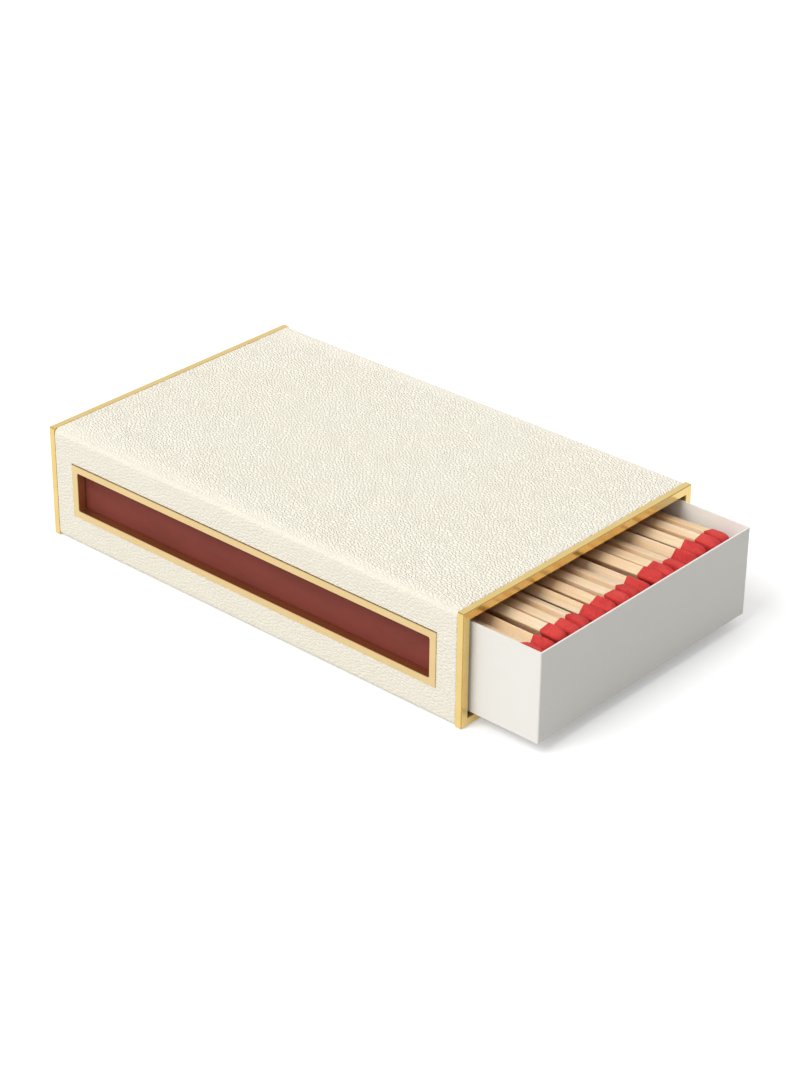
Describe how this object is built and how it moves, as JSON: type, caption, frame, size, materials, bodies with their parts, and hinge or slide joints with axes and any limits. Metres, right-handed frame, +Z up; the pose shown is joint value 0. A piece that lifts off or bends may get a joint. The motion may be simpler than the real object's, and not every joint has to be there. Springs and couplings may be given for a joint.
{
  "type": "matchbox holder",
  "caption": "Flat leather-covered sleeve with brass end frames and side windows, holding a matchbox whose card tray of matches slides out at the front.",
  "frame": {"origin": "middle of the holder's flat underside, where it rests on a table", "axes": "+X along the holder, the way the tray is drawn; +Z up; -Y the long side whose window faces the viewer"},
  "size_m": [0.1293, 0.0702, 0.025],
  "materials": {
    "brass": "polished brass with fine hairlines",
    "leather": "cream leather, embossed fine pebble grain, satin",
    "card": "white uncoated card",
    "striker": "maroon striking coat, fine grit",
    "splint_wood": "raw pale aspen, long grain",
    "match_head": "dry red match compound"
  },
  "bodies": {
    "holder": {"liner_tube": "brass", "leather_cover": "leather", "front_end_frame": "brass", "rear_end_frame": "brass", "near_window_frame": "brass", "far_window_frame": "brass"},
    "matchbox": {"matchbox_sleeve": "card", "near_striker": "striker", "far_striker": "striker"},
    "tray": {"matchbox_tray": "card", "buried_row_1_heads": "match_head", "buried_row_1_sticks": "splint_wood", "buried_row_2_heads": "match_head", "buried_row_2_sticks": "splint_wood", "buried_row_3_heads": "match_head", "buried_row_3_sticks": "splint_wood", "buried_row_4_heads": "match_head", "buried_row_4_sticks": "splint_wood", "match_01_head": "match_head", "match_01_stick": "splint_wood", "match_02_head": "match_head", "match_02_stick": "splint_wood", "match_03_head": "match_head", "match_03_stick": "splint_wood", "match_04_head": "match_head", "match_04_stick": "splint_wood", "match_05_head": "match_head", "match_05_stick": "splint_wood", "match_06_head": "match_head", "match_06_stick": "splint_wood", "match_07_head": "match_head", "match_07_stick": "splint_wood", "match_08_head": "match_head", "match_08_stick": "splint_wood", "match_09_head": "match_head", "match_09_stick": "splint_wood", "match_10_head": "match_head", "match_10_stick": "splint_wood", "match_11_head": "match_head", "match_11_stick": "splint_wood", "match_12_head": "match_head", "match_12_stick": "splint_wood", "match_13_head": "match_head", "match_13_stick": "splint_wood", "match_14_head": "match_head", "match_14_stick": "splint_wood", "match_15_head": "match_head", "match_15_stick": "splint_wood", "match_16_head": "match_head", "match_16_stick": "splint_wood", "match_17_head": "match_head", "match_17_stick": "splint_wood"}
  },
  "joints": [
    {"name": "refill_slide", "type": "slide", "parent": "holder", "child": "matchbox", "axis": [1, 0, 0], "range_m": [-0.098, 0.098]},
    {"name": "tray_slide", "type": "slide", "parent": "matchbox", "child": "tray", "axis": [1, 0, 0], "range_m": [-0.0178, 0.08]}
  ]
}
